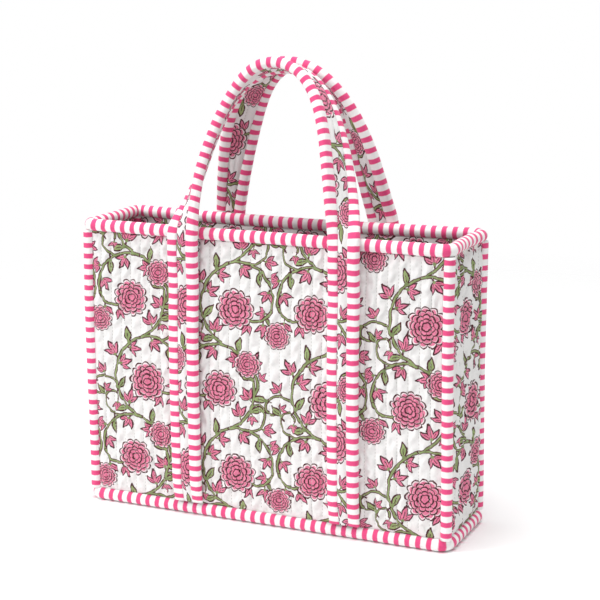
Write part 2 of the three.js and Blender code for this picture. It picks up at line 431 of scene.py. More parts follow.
def bend(start, radius, turn, share=1.0):
    """The arc of a bend as (x, y, middle bearing, radius, half its turn), and the place where it ends."""
    x, y, heading = start
    side, heading_now = math.copysign(1, turn), math.radians(heading)
    middle = (x - side * radius * math.sin(heading_now), y + side * radius * math.cos(heading_now))
    swept = math.radians(turn * share)
    first = math.atan2(y - middle[1], x - middle[0])
    end = (middle[0] + radius * math.cos(first + swept), middle[1] + radius * math.sin(first + swept))
    return (*middle, first + swept / 2, radius, abs(swept) / 2), (*end, heading + turn * share)


def grow_print():
    """Arcs of the vine with their half widths, buds and leaves, and peonies, in one repeat."""
    lines, arcs, peonies, here = [[]], [], [], STEM_START
    for radius, turn in STEM_BENDS:
        lines[0].append((here, radius, turn))
        arc, here = bend(here, radius, turn)
        arcs.append((*arc, STEM_WIDTH / 2))
    for line, number, share, off, bends, size in BRANCHES:
        x, y, heading = bend(*lines[line][number], share)[1]
        here = (x, y, heading + off)
        lines.append([])
        for radius, turn in bends:
            lines[-1].append((here, radius, turn))
            arc, here = bend(here, radius, turn)
            arcs.append((*arc, STEM_WIDTH * (BEARING_BRANCH if size else CURLING_BRANCH)))
        if size:
            ahead = math.radians(here[2])
            x, y = (here[k] + PEONY_AHEAD * size * turned(ahead) for k, turned in enumerate((math.cos, math.sin)))
            peonies.append((x, y, here[2], size, BUD))
    sprigs = []
    for line, number, share, off, size, leaf in SPRIGS:
        x, y, heading = bend(*lines[line][number], share)[1]
        growth, kind = (LEAF_GROWTH, LEAF) if leaf else (BUD_GROWTH, BUD)
        sprigs.append((x, y, heading + off, size * growth, kind))
    return arcs, sprigs, peonies


def around(finish, lattice, x, y, bearing, size):
    """Coordinates about a spot of the repeat, turned to a bearing in radians, with size as the unit."""
    width, height = REPEAT
    offset = finish.vector("SUBTRACT", lattice, (x / width, y / height - x / (2 * width), 0))
    offset = finish.vector("WRAP", offset, (0.5, 0.5, 0.5), (-0.5, -0.5, -0.5))
    c, s = math.cos(bearing) / size, math.sin(bearing) / size
    forward = finish.vector("DOT_PRODUCT", offset, (width * c + height / 2 * s, height * s, 0), output=1)
    aside = finish.vector("DOT_PRODUCT", offset, (height / 2 * c - width * s, height * c, 0), output=1)
    return forward, aside


def nearest(finish, lattice, spots, middle=0.0):
    """Coordinates in the nearest of those spots, with its kind as the third, and the distance in them.
    Each spot's own middle is that far ahead of it."""
    best = far = None
    for x, y, turn, size, kind in spots:
        forward, aside = around(finish, lattice, x, y, math.radians(turn), size)
        place = finish.node("CombineXYZ", X=forward, Y=aside, Z=kind)
        reach = finish.vector("DISTANCE", place, (middle, 0, kind), output=1)
        if best is None:
            best, far = place, reach
        else:
            best = finish.node("Mix", {"data_type": "VECTOR"}, output=1, i0=reach < far, i4=best, i5=place)
            far = far.least(reach)
    return best, far


def wander(finish, flat, scale, detail, reach):
    """How far a noise moves each place of the print, at most half of reach in millimetres."""
    aside = finish.vector("SUBTRACT", finish.noise(flat, scale, detail, output=1), (0.5, 0.5, 0.5))
    return finish.vector("SCALE", aside, scale=reach)


def vine_edge(finish, lattice, arcs):
    """Distance in millimetres from the nearest edge of the vine, below 0 inside it."""
    edge = None
    for x, y, bearing, radius, half_turn, half_width in arcs:
        forward, aside = around(finish, lattice, x, y, bearing, 1.0)
        reach = finish.vector("LENGTH", finish.node("CombineXYZ", X=forward, Y=aside), output=1)
        arc = (abs(reach - radius) - half_width).most(reach * math.cos(half_turn) - forward)
        edge = arc if edge is None else edge.least(arc)
    return edge


def sprig_marks(finish, lattice, sprigs):
    """Masks of the buds, of three pointed petals on a short stalk, and of the single leaves: whether it is a
    leaf, then stalk, outline, fill, vein and calyx."""
    spot, _ = nearest(finish, lattice, sprigs, middle=SPRIG_MIDDLE)
    u, v = finish.parts(spot)
    leaf = finish.node("SeparateXYZ", i0=spot, output=2) > LEAF / 2
    stalk = (abs(v) < 0.045 + 0.02 * leaf) * (u < 0.4) * (u > 0.0)
    base = 0.28 - 0.16 * leaf
    u, v = (u - base) / (1 - base), v / (1 - base)
    angle = abs(v.bearing(u))
    beside = (angle > PETAL_SPREAD / 2) * (1 - leaf)
    reach = (u * u + v * v).power(0.5) / (1 - beside * 0.16)
    angle = abs(angle - beside * PETAL_SPREAD)
    run, aside = reach * angle.cosine(), reach * angle.sine()
    swell = (run * (1 - run)).most(0.0) * (1.25 - run * 0.5) * (0.74 + 0.1 * leaf)
    edge = (aside - swell).most(run - 1.0)
    vein = (aside < 0.024) * (run < 0.6) * (run > 0.15)
    return leaf, stalk, edge < SPRIG_LINE, edge < SPRIG_FILL, vein, reach < CALYX


def peony_marks(finish, lattice, peonies):
    """Masks of the peonies' outlines, of their petals' pale rims and of the whole flowers."""
    spot, reach = nearest(finish, lattice, peonies)
    u, v = finish.parts(spot)
    angle = v.bearing(u)
    line = pale = inside = None
    for radius, count, phase in PEONY_LAYERS:
        scallop = abs((angle * (count / 2) + phase).cosine())
        rim = reach - (scallop.power(0.5) * 0.19 + 0.81) * radius
        outline = abs(rim) < PEONY_LINE
        fold = (scallop < 0.13) * (rim < 0)
        rim_pale = (rim > (-0.1 if radius > 0.9 else -0.07)) * (rim < 0)
        if inside is None:
            line, pale = outline, rim_pale
        else:
            line = line + (outline + fold) * (1 - inside)
            pale = pale * (0.35 if radius < 0.9 else 0.5) + rim_pale * (1 - inside)
        inside = rim < 0
    return line.clamp(), pale.clamp(), inside


def shaded(tint, share):
    return [min(1.0, c * share) for c in tint]


def block_print(finish, flat, tints):
    """Colour of a block print of peonies on scrolling vines, over the cloth's lengths in millimetres."""
    width, height = REPEAT
    drift, cut = wander(finish, flat, 0.09, 2.0, DRIFT), wander(finish, flat, 0.5, 1.0, CUT)
    flat = finish.vector("ADD", finish.vector("ADD", flat, drift), cut)
    x, y = finish.parts(flat)
    lattice = finish.node("CombineXYZ", X=x / width, Y=y / height - x / (2 * width))
    arcs, sprigs, peonies = grow_print()
    vine = vine_edge(finish, lattice, arcs)
    leaf, stalk, sprig_line, sprig_fill, vein, calyx = sprig_marks(finish, lattice, sprigs)
    peony_line, pale, peony = peony_marks(finish, lattice, peonies)

    ground, line, green = tints["ground"], tints["outline"], tints["leaf"]
    patches = finish.noise(flat, 0.35, 4.0)
    petal = finish.mix(patches, shaded(tints["petal"], 0.84), shaded(tints["petal"], 1.16))
    thin = ((finish.noise(flat, 1.3, 3.0) - 0.54) * 6.0).clamp()
    petal = finish.mix(thin * 0.4, petal, ground)
    slubs = ((finish.noise(flat, 1.6, 4.0) - 0.35) * 2.4).clamp()
    fresh = shaded(green, 1.35)

    colour = finish.mix(slubs, shaded(ground, 0.90), ground)
    colour = finish.mix((vine < VINE_LINE) + stalk, colour, shaded(line, 1.3))
    colour = finish.mix(vine < VINE_GREEN, colour, green)
    colour = finish.mix((vine < VINE_FRESH) * 0.6, colour, fresh)
    colour = finish.mix(sprig_line, colour, line)
    colour = finish.mix(sprig_fill, colour, finish.mix(leaf, petal, fresh))
    colour = finish.mix(vein, colour, line)
    colour = finish.mix(calyx, colour, green)
    colour = finish.mix(peony, colour, petal)
    colour = finish.mix(pale * peony * 0.8, colour, ground)
    return finish.mix(peony_line, colour, line)


def printed_cotton(name, shade=1.0, shift=(0.0, 0.0)):
    """Block printed cotton, with its print darkened by that share as painted shade, and shifted over the cloth."""
    finish = Finish(name)
    flat = finish.vector("ADD", finish.flat(), (*shift, 0.0))
    x, y = finish.parts(flat)
    tints = {key: shaded(getattr(colours(), key), shade) for key in ("ground", "petal", "leaf", "outline")}
    colour = block_print(finish, flat, tints)
    height = weave(x, y, sizes().thread) * 0.3 + finish.noise(flat, 0.55, 3.0)
    finish.set(Base_Color=colour, Roughness=0.9)
    finish.set(Sheen_Weight=0.15, Sheen_Roughness=0.5)
    finish.bump(height, 0.6 * MM, 0.6)
    return finish.material


STRIPE_HALF, STRIPE_SOFT = 0.232, 14.0


def striped_cotton(name):
    """Striped binding cloth: the stripes cross its length."""
    finish = Finish(name)
    x, y = finish.parts(finish.flat())
    wobble = finish.noise(finish.flat(), 0.15) - 0.5
    run = (x + wobble * 1.2) / (sizes().stripe / MM)
    ridge = abs(run.fraction() - 0.5)
    band = ((STRIPE_HALF - ridge) * STRIPE_SOFT + 0.5).clamp()
    worn = finish.noise(finish.flat(), 0.9, 3.0)
    pink = finish.mix(worn, shaded(colours().stripe, 0.86), shaded(colours().stripe, 1.12))
    colour = finish.mix(band, colours().ground, pink)
    height = weave(x, y, sizes().thread)
    finish.set(Base_Color=colour, Roughness=0.85, Sheen_Weight=0.2, Sheen_Roughness=0.5)
    finish.bump(height, 0.15 * MM, 0.5)
    return finish.material


def plain_cotton(name, colour, roughness=0.9):
    """Undyed or plain dyed cotton, as wadding or thread."""
    finish = Finish(name)
    place = finish.node("TexCoord", output=3)
    tone = finish.mix(finish.noise(place, 400.0, 3.0), shaded(colour, 0.9), colour)
    finish.set(Base_Color=tone, Roughness=roughness)
    return finish.material


def made_once(name, make, *args, **options):
    return bpy.data.materials.get(name) or make(name, *args, **options)


def print_cloth():
    return made_once("block printed cotton", printed_cotton)


def lining_cloth():
    # The lining's print is painted 3% darker than the outer cloth's: painted shade on the bag's inside and on the
    # straps' backs.
    return made_once("printed lining", printed_cotton, shade=0.97, shift=(61.0, 37.0))


def stripe_cloth():
    return made_once("striped cotton", striped_cotton)


def wadding():
    return made_once("cotton wadding", plain_cotton, (0.82, 0.80, 0.75), roughness=0.97)


# ---- Stitches ----
STITCH_SHARE, THREAD_THICKNESS = 0.62, 0.7 * MM


def stitch_tree():
    """Geometry Nodes that lay thread stitches along every line of the mesh."""
    tree = bpy.data.node_groups.new("running stitch", "GeometryNodeTree")
    face = tree.interface
    face.new_socket("Lines", in_out="INPUT", socket_type="NodeSocketGeometry")
    stitch = sizes().stitch
    for name, size in (("Spacing", stitch), ("Length", stitch * STITCH_SHARE), ("Thickness", THREAD_THICKNESS)):
        face.new_socket(name, in_out="INPUT", socket_type="NodeSocketFloat").default_value = size
    face.new_socket("Thread", in_out="INPUT", socket_type="NodeSocketMaterial")
    face.new_socket("Stitches", in_out="OUTPUT", socket_type="NodeSocketGeometry")

    def add(kind, **settings):
        made = tree.nodes.new(kind)
        for key, value in settings.items():
            setattr(made, key, value)
        return made

    given, result = add("NodeGroupInput"), add("NodeGroupOutput")
    curve, spaced = add("GeometryNodeMeshToCurve"), add("GeometryNodeResampleCurve", mode="LENGTH")
    ball, shaped = add("GeometryNodeMeshUVSphere"), add("GeometryNodeTransform")
    size, tangent = add("ShaderNodeCombineXYZ"), add("GeometryNodeInputTangent")
    laid = add("GeometryNodeInstanceOnPoints")
    aimed = add("FunctionNodeAlignRotationToVector", axis="Z")
    real, painted = add("GeometryNodeRealizeInstances"), add("GeometryNodeSetMaterial")
    ball.inputs["Segments"].default_value, ball.inputs["Rings"].default_value = 5, 4
    ball.inputs["Radius"].default_value = 0.5
    for start, end in (
        (given.outputs["Lines"], curve.inputs[0]), (curve.outputs[0], spaced.inputs["Curve"]),
        (given.outputs["Spacing"], spaced.inputs["Length"]), (ball.outputs["Mesh"], shaped.inputs["Geometry"]),
        (given.outputs["Thickness"], size.inputs[0]), (given.outputs["Thickness"], size.inputs[1]),
        (given.outputs["Length"], size.inputs[2]), (size.outputs[0], shaped.inputs["Scale"]),
        (spaced.outputs[0], laid.inputs["Points"]), (shaped.outputs[0], laid.inputs["Instance"]),
        (tangent.outputs[0], aimed.inputs["Vector"]), (aimed.outputs[0], laid.inputs["Rotation"]),
        (laid.outputs[0], real.inputs[0]), (real.outputs[0], painted.inputs["Geometry"]),
        (given.outputs["Thread"], painted.inputs["Material"]), (painted.outputs[0], result.inputs[0]),
    ):
        tree.links.new(start, end)
    return tree


def sew(name, lines, body):
    """Stitches along lines of points, as one mesh that rides on a body."""
    points, edges, start = [], [], 0
    for line in lines:
        points += line.tolist()
        edges += [(k, k + 1) for k in range(start, start + len(line) - 1)]
        start += len(line)
    mesh = bpy.data.meshes.new(name)
    mesh.from_pydata(points, edges, [])
    guide = bpy.data.objects.new(name + "_guide", mesh)
    bpy.context.scene.collection.objects.link(guide)
    tree = bpy.data.node_groups.get("running stitch") or stitch_tree()
    modifier = guide.modifiers.new("stitches", "NODES")
    modifier.node_group = tree
    thread = made_once("quilting thread", plain_cotton, colours().thread)
    for item in tree.interface.items_tree:
        if item.in_out == "INPUT" and item.name == "Thread":
            modifier[item.identifier] = thread
    graph = bpy.context.evaluated_depsgraph_get()
    laid = bpy.data.meshes.new_from_object(guide.evaluated_get(graph), depsgraph=graph)
    bpy.data.objects.remove(guide)
    made = bpy.data.objects.new(name, laid)
    laid.name = name
    bpy.context.scene.collection.objects.link(made)
    laid.polygons.foreach_set("use_smooth", np.ones(len(laid.polygons), bool))
    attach(made, body)


# ---- Quilted panels ----
# Quarter turns of each wall from the front, and how far out its middle layer stands.
WALLS = {"front": (0, HALF_DEPTH), "right": (1, HALF_LENGTH), "back": (2, HALF_DEPTH), "left": (3, HALF_LENGTH)}
# The printed cloth runs on round the corners: each wall starts this much further along it.
CLOTH_RUN = 0.41
CLOTH, LINING_GAP, STITCH_LIFT, EDGE_TUCK = 0.6 * MM, 0.25 * MM, 0.12 * MM, 9 * MM
# How far the soft panels reach past the frame's, across, down and up, to meet the rolls.
WALL_WIDER, WALL_LOWER, WALL_HIGHER, BASE_WIDER = 5.2 * MM, 2.4 * MM, 2.2 * MM, 2.4 * MM
# Share of a wall's thickness left at its edges, and shares of the outer cloth's rise and move in the lining's.
EDGE_SHARE, LINING_RISE, LINING_MOVE = 0.45, 0.8, 0.7
# The base's height over the floor, and how far its channels sink below, above, and at its edges.
BASE_UP, BASE_UNDER, BASE_OVER, BASE_EDGE = 0.2 * MM, 0.5 * MM, 1.6 * MM, 2.0 * MM

CLOTH_FRAMES, CLOTH_POINT_MASS, CLOTH_PRESSURE, CLOTH_SLACK, CLOTH_REACH = 20, 0.0005, 4.0, 0.05, 2.0 * MM


def channel_height(u, count, width):
    """Rise of the wadding over its stitch lines, 0 to 1, across a panel with that many channels."""
    within = np.mod(u / width * count, 1.0)
    return (1 - np.abs(2 * within - 1) ** 2.6) ** 0.6


def quilt_relief(u, v, count, width, seed):
    """Height of a quilted surface over its stitch lines."""
    crest = channel_height(u, count, width)
    crumple = ripple(u * 0.5, v, 13 * MM, seed, 12)
    slow = ripple(u, v, 60 * MM, seed + 1)
    return sizes().puff * crest * (1 + 0.16 * crumple) + 0.35 * MM * slow


def panel_grid(width, height, count, per_channel=8, row=2.1 * MM):
    """Lengths across and up a panel, on a grid whose columns fall on its stitch rows."""
    u = np.linspace(0, width, count * per_channel + 1)
    v = np.linspace(0, height, 2 * round(height / row / 2) + 1)
    return np.meshgrid(u, v)


def press_out(u, v, rise, held):
    """How a quilted cloth moves over its grid as the wadding presses it out between the held stitches."""
    rows, columns = u.shape
    mesh = bpy.data.meshes.new("pressed cloth")
    i, j = np.meshgrid(np.arange(rows - 1), np.arange(columns - 1), indexing="ij")
    corner = (i * columns + j).ravel()
    start = np.stack([u, v, rise], -1).reshape(-1, 3)
    faces = np.stack([corner, corner + 1, corner + columns + 1, corner + columns], -1)
    mesh.from_pydata(start.tolist(), [], faces.tolist())
    cloth = bpy.data.objects.new("pressed cloth", mesh)
    scene = bpy.context.scene
    scene.collection.objects.link(cloth)
    cloth.vertex_groups.new(name="held").add(np.flatnonzero(held.ravel()).tolist(), 1.0, "REPLACE")
    modifier = cloth.modifiers.new("cloth", "CLOTH")
    settings = modifier.settings
    settings.quality, settings.mass = 5, CLOTH_POINT_MASS
    settings.tension_stiffness = settings.compression_stiffness = 12.0
    settings.shear_stiffness, settings.bending_stiffness = 4.0, 0.05
    settings.use_pressure, settings.uniform_pressure_force = True, CLOTH_PRESSURE
    settings.shrink_min = settings.shrink_max = -CLOTH_SLACK
    settings.vertex_group_mass = "held"
    settings.effector_weights.gravity = 0.0
    modifier.point_cache.frame_start, modifier.point_cache.frame_end = 1, CLOTH_FRAMES
    for moment in range(1, CLOTH_FRAMES + 1):
        scene.frame_set(moment)
    settled = cloth.evaluated_get(bpy.context.evaluated_depsgraph_get())
    ends = np.empty(len(start) * 3, np.float32)
    settled.data.vertices.foreach_get("co", ends)
    bpy.data.objects.remove(cloth)
    scene.frame_set(1)
    moved = ends.reshape(-1, 3) - start
    far = np.linalg.norm(moved, axis=1, keepdims=True)
    moved *= np.minimum(1.0, CLOTH_REACH / np.maximum(far, CLOTH_REACH / 10))
    return moved.reshape(rows, columns, 3)


def finer(values, rows, columns):
    """Values on a grid spread over a finer one of that many rows and columns."""
    high = [np.interp(np.linspace(0, 1, rows), np.linspace(0, 1, len(values)), column)
            for column in values.reshape(len(values), -1).T]
    wide = np.stack(high, 1).reshape(rows, *values.shape[1:]).swapaxes(0, 1)
    wide = [np.interp(np.linspace(0, 1, columns), np.linspace(0, 1, len(wide)), row)
            for row in wide.reshape(len(wide), -1).T]
    return np.stack(wide, 1).reshape(columns, rows, *values.shape[2:]).swapaxes(0, 1)


def wall_place(wall, u, v, out):
    """Places on a wall: u across it, v up it, out from its middle layer."""
    turns, distance = WALLS[wall]
    x, y = u, -(distance + out)
    angle = turns * math.pi / 2
    c, s = math.cos(angle), math.sin(angle)
    return np.stack([x * c - y * s, x * s + y * c, v], -1)


def edge_distance(u, v, width, height):
    """How far each place on a panel is from its nearest edge."""
    return np.minimum(np.minimum(u, width - u), np.minimum(v, height - v))


def both_sides(u, v, start=0.0):
    """The cloth's own lengths over one side of a panel and back over its other side."""
    over = np.concatenate([u, u[:, ::-1], u[:, :1]], 1)
    up = np.concatenate([v, v, v[:, :1]], 1)
    return np.stack([over + start, up], -1)


def quilt_rows(places, count):
    """Lines of points along the stitch rows of a panel with that many channels."""
    step = (places.shape[1] - 1) // count
    return [places[3:-3, k * step] for k in range(1, count)]


def make_panel(name, quilt_rings, lining_rings, flat, strips):
    """A panel's printed cloth with its wadding, and the lining sewn to its inside."""
    quilt = skin(f"{name}_quilted_panel", quilt_rings, flat, [print_cloth(), wadding()], strips)
    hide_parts(f"{name}_panel_print", f"{name}_panel_wadding")
    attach(quilt, "bag")
    lining = skin(f"{name}_lining", lining_rings, flat, [lining_cloth()])
    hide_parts(f"{name}_panel_lining")
    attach(lining, "bag")


def build_wall(wall):
    """One quilted wall, its lining and the stitches on both sides."""
    turns, _ = WALLS[wall]
    low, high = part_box(f"{wall}_panel_print")
    width = max(high.x - low.x, high.y - low.y) + WALL_WIDER
    foot, head = low.z - WALL_LOWER, high.z + WALL_HIGHER
    count = round(width / sizes().channel)
    u, v = panel_grid(width, head - foot, count)
    seed = 10 * turns + 5
    edge = edge_distance(u, v, width, head - foot)
    tuck = smooth(edge / EDGE_TUCK)
    core = (WALL / 2 - sizes().puff) * (EDGE_SHARE + (1 - EDGE_SHARE) * tuck)
    outer = core + quilt_relief(u, v, count, width, seed) * tuck
    moved = np.zeros((*u.shape, 3))
    coarse = (slice(None, None, 2), slice(None, None, 2))
    step = (u.shape[1] - 1) // count
    held = (np.arange(u.shape[1])[None] % step == 0) | (edge < 4 * MM)
    moved = finer(press_out(u[coarse], v[coarse], outer[coarse], held[coarse]), *u.shape)
    inner = -(core + quilt_relief(u, v, count, width, seed + 50) * LINING_RISE * tuck)
    inner -= moved[:, ::-1, 2] * LINING_MOVE
    x, z = u - width / 2, v + foot
    front = wall_place(wall, x + moved[..., 0], z + moved[..., 1], outer + moved[..., 2])
    behind = wall_place(wall, x, z, inner + CLOTH + LINING_GAP)[:, ::-1]
    near, far = wall_place(wall, x, z, inner + CLOTH), wall_place(wall, x, z, inner)[:, ::-1]
    strips = np.repeat([0, 1], u.shape[1])
    strips[-1] = 0
    make_panel(wall, settle(np.concatenate([front, behind], 1)), settle(np.concatenate([near, far], 1)),
               both_sides(u, v, turns * CLOTH_RUN), strips)
    for side, surface, lift in (("panel", outer, STITCH_LIFT), ("lining", inner, -STITCH_LIFT)):
        places = settle(wall_place(wall, x, z, surface + lift))
        sew(f"{wall}_{side}_stitches", quilt_rows(places, count), "bag")


def build_base():
    """The quilted base, its lining and the stitches on both sides."""
    low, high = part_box("base_panel_print")
    width, depth = high.x - low.x + BASE_WIDER, high.y - low.y + BASE_WIDER
    count = round(width / sizes().channel)
    u, v = panel_grid(width, depth, count, per_channel=6, row=3 * MM)
    tuck = smooth(edge_distance(u, v, width, depth) / EDGE_TUCK)
    sink = (1 - channel_height(u, count, width)) * tuck
    under = BASE_UP + BASE_UNDER * sink + BASE_EDGE * (1 - tuck)
    over = WALL - BASE_OVER * sink - BASE_EDGE * (1 - tuck)

    def layer(height):
        return np.stack([u - width / 2, v - depth / 2, height], -1)

    make_panel("base", np.concatenate([layer(under), layer(over - CLOTH - LINING_GAP)[:, ::-1]], 1),
               np.concatenate([layer(over - CLOTH), layer(over)[:, ::-1]], 1),
               both_sides(u, v), np.repeat([0, 1], u.shape[1]))
    for side, height in (("panel", under - STITCH_LIFT), ("lining", over + STITCH_LIFT)):
        sew(f"base_{side}_stitches", quilt_rows(layer(height), count), "bag")


# ---- Striped edge rolls ----
ROLL_SIDES = 28
SOFT_ROLL, SOFT_CORNER_ROLL = 0.88 * ROLL, 0.79 * ROLL
CORNER_RADIUS, FLOOR_GAP, CORNER_REACH = 10 * MM, 0.1 * MM, 2.5 * MM


def roll_rings(places, across, out, seed, radius=SOFT_ROLL, closed=False):
    """Round sections of a cord-filled roll, a little uneven, as its cloth was eased round the cord."""
    along = lengths(places)
    angle = np.arange(ROLL_SIDES) / ROLL_SIDES * 2 * np.pi
    a, t = np.meshgrid(along, angle, indexing="ij")
    lumps = ripple(a, t * ROLL, 55 * MM, seed)
    creases = ripple(a, t * ROLL * 0.35, 9 * MM, seed + 1, 10)
    uneven = 0.012 * lumps + 0.010 * creases
    if closed:
        uneven = uneven * smooth(np.minimum(a, along[-1] - a) / (30 * MM))
    r = radius * (0.985 + uneven)
    rings = (places[:, None] + (r * np.cos(t))[..., None] * across[:, None]
             + (r * np.sin(t))[..., None] * out[:, None])
    return rings, along


def make_roll(name, rings, along, closed=False):
    """A striped binding round its filler cord."""
    if closed:
        first = np.linalg.norm(rings[0].mean(0) - rings[-1].mean(0))
        along = np.concatenate([along, [along[-1] + first]])
    girth = np.arange(ROLL_SIDES + 1) / ROLL_SIDES * 2 * np.pi * SOFT_ROLL
    flat = np.stack(np.meshgrid(along, girth, indexing="ij"), -1)
    made = skin(f"{name}_roll", settle(rings), flat, [stripe_cloth()], closed=closed)
    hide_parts(f"{name}_binding", f"{name}_filler_cord")
    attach(made, "bag")


def loop_path(height, step=2.2 * MM):
    """Places and outward directions round the bag at one height, with rounded corners."""
    places, across = [], []
    for corner in range(4):
        start = math.pi / 2 - corner * math.pi / 2
        sx, sy = [(1, 1), (1, -1), (-1, -1), (-1, 1)][corner]
        middle = np.array([sx * (HALF_LENGTH - CORNER_RADIUS), sy * (HALF_DEPTH - CORNER_RADIUS), height])
        for t in np.linspace(0, 1, 9):
            angle = start - t * math.pi / 2
            outward = np.array([math.cos(angle), math.sin(angle), 0.0])
            places.append(middle + CORNER_RADIUS * outward)
            across.append(outward)
        side = HALF_DEPTH if corner % 2 == 0 else HALF_LENGTH
        run = 2 * (side - CORNER_RADIUS)
        heading = np.array([math.cos(start - math.pi), math.sin(start - math.pi), 0.0])
        for d in np.linspace(0, run, int(run / step) + 1)[1:-1]:
            places.append(middle + CORNER_RADIUS * outward + heading * d)
            across.append(outward)
    return np.array(places), np.array(across)


def build_loops():
    """The rim roll and the base roll."""
    for name, height, seed in (("rim", RIM_TOP - SOFT_ROLL, 21), ("base", SOFT_ROLL + FLOOR_GAP, 23)):
        places, across = loop_path(height)
        up = np.tile([0.0, 0.0, 1.0], (len(places), 1))
        rings, along = roll_rings(places, across, up, seed, closed=True)
        make_roll(name, rings, along, closed=True)


# Which side of the bag each corner is on: 1 is the right.
CORNERS = {"front_right": 1.0, "back_right": 1.0, "back_left": -1.0, "front_left": -1.0}


def build_corner_rolls():
    """The upright rolls between the rim roll and the base roll."""
    for k, (name, side) in enumerate(CORNERS.items()):
        low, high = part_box(f"{name}_corner_binding")
        middle = (low + high) / 2
        z = np.linspace(low.z - CORNER_REACH, high.z + CORNER_REACH, 120)
        places = np.stack([np.full_like(z, middle.x), np.full_like(z, middle.y), z], -1)
        across = np.tile([side, 0.0, 0.0], (len(z), 1))
        out = np.tile([0.0, side, 0.0], (len(z), 1))
        rings, along = roll_rings(places, across, out, 31 + 2 * k, SOFT_CORNER_ROLL)
        make_roll(f"{name}_corner", rings, along)


# ---- Strap handles ----
LEG_X = 86 * MM
LEG_HALF = outer_size("front_right_leg_wadding").x / 2 + 1.8 * MM
HANDLE_HALF = 21 * MM
STRAP_THICKNESS = 10 * MM
# Each handle, as seen from its own side of the bag: half turns round the bag, shift to the side, how far behind the
# middle its top stands, how late it turns edge up, its top's height over the rim, and how that top tilts. The front
# one's left half turns edge up by (shares of its run) and (degrees).
HANDLES = {
    "front": {"half_turns": 0, "aside": 6 * MM, "apex": -10.5 * MM, "turning": 3, "top": 156 * MM, "dip": 0.26,
              "left_turn": ((0, 0.1, 0.25, 0.7, 1), (0, 40, 64, 68, 90))},
    "back": {"half_turns": 1, "aside": 0.0, "apex": -32.5 * MM, "turning": 1, "top": 155 * MM, "dip": -0.2,
             "left_turn": None},
}
SHOULDER_IN, SHOULDER_UP, CROWN, WIDENING = 14 * MM, 55 * MM, 60 * MM, 0.6
# A leg lies flat on its panel up to one height, then leans out over the next length to clear the rim roll.
LEG_LEAVES, LEG_LEANS, OVER_RIM = 235 * MM, 42 * MM, 61.55 * MM
FOOT_TUCK, FOOT_THICKNESS = 30 * MM, 0.42
LIP_ANGLE, FOLD_ROUNDNESS, FOLD_CLOTH = math.radians(146), 0.8, 1.1 * MM
# The web: its edge inside the strap's, its valleys under the strap's face, and how far its channels rise.
WEB_INSET, WEB_SINK, WEB_RISE = 2.4 * MM, 1.9 * MM, 1.5 * MM
# Heights below and above the hinge, worked out for each strap but not used to shape the cloth.
BEND_BELOW, BEND_ABOVE = 14 * MM, 16 * MM


def strap_path(handle):
    """A strap from its left foot over to its right foot: places, directions of its outer edge and of its face,
    half widths, and shares of the full thickness."""
    on_panel = HALF_DEPTH + WALL / 2 + STRAP_THICKNESS / 2 + 0.3 * MM
    z = np.arange(LEG_FOOT, RIM_TOP, 2 * MM)
    rise = smooth((z - LEG_LEAVES) / LEG_LEANS)
    flat_foot = 1 - (1 - FOOT_THICKNESS) * smooth(1 - (z - LEG_FOOT) / FOOT_TUCK) ** 1.5
    sunk = (1 - flat_foot) * STRAP_THICKNESS / 2
    leg = np.stack([np.full_like(z, LEG_X), -(on_panel - sunk + (OVER_RIM - on_panel) * rise), z], -1)

    t = np.linspace(0, 1, 110)[1:]
    apex, top = handle["apex"], RIM_TOP + handle["top"]
    shoulder = (LEG_X - SHOULDER_IN, (apex - OVER_RIM) / 2, RIM_TOP + SHOULDER_UP)
    pulls = ((LEG_X, -OVER_RIM, RIM_TOP), shoulder, (CROWN, apex, top), (0.0, apex, top))
    shares = ((1 - t) ** 3, 3 * (1 - t) ** 2 * t, 3 * (1 - t) * t * t, t**3)
    curve = sum(share[:, None] * np.array(pull) for share, pull in zip(shares, pulls))
    turned = np.pi / 2 * (1 - (1 - t) ** handle["turning"])
    turned_left = np.radians(np.interp(t, *handle["left_turn"])) if handle["left_turn"] else turned

    half = np.concatenate([leg, curve])
    run = lengths(half)
    steps = np.linspace(0, run[-1], int(run[-1] / (2.2 * MM)))
    still = np.zeros(len(leg))
    turn, turn_left, widened, thick = (np.interp(steps, run, np.concatenate(pair)) for pair in (
        (still, turned), (still, turned_left), (still, smooth(t / WIDENING)), (flat_foot, np.ones(len(t)))))
    half = np.stack([np.interp(steps, run, column) for column in half.T], 1)
    right, left = (
        np.stack([np.cos(a), np.sin(a), -handle["dip"] * np.sin(a) ** 2], -1) for a in (turn, turn_left)
    )

    def over(up, down):
        """Values up the left half and down the right half."""
        return np.concatenate([up, down[-2::-1]])

    mirror = np.array([-1.0, 1.0, 1.0])
    places = blur(over(half * mirror, half), 15)
    places[:, 0] += handle["aside"]
    travel = np.gradient(places, axis=0)
    travel /= np.linalg.norm(travel, axis=1)[:, None]
    across = blur(over(left * mirror, right), 13)
    across -= travel * (across * travel).sum(1)[:, None]
    across /= np.linalg.norm(across, axis=1)[:, None]
    out = np.cross(travel, across)
    if handle["half_turns"]:
        for values in (places, across, out):
            values[:, :2] *= -1
    widths = LEG_HALF + (HANDLE_HALF - LEG_HALF) * over(widened, widened)
    return places, across, out, blur(widths[:, None], 9)[:, 0], over(thick, thick)


def strap_rings(path, section):
    """Rings of section(places along, half widths) -> x across, y out, swept along the strap."""
    places, across, out, half, thick = path
    along = lengths(places)
    x, y = section(along[:, None], half[:, None])
    y = y * thick[:, None]
    return places[:, None] + x[..., None] * across[:, None] + y[..., None] * out[:, None], along


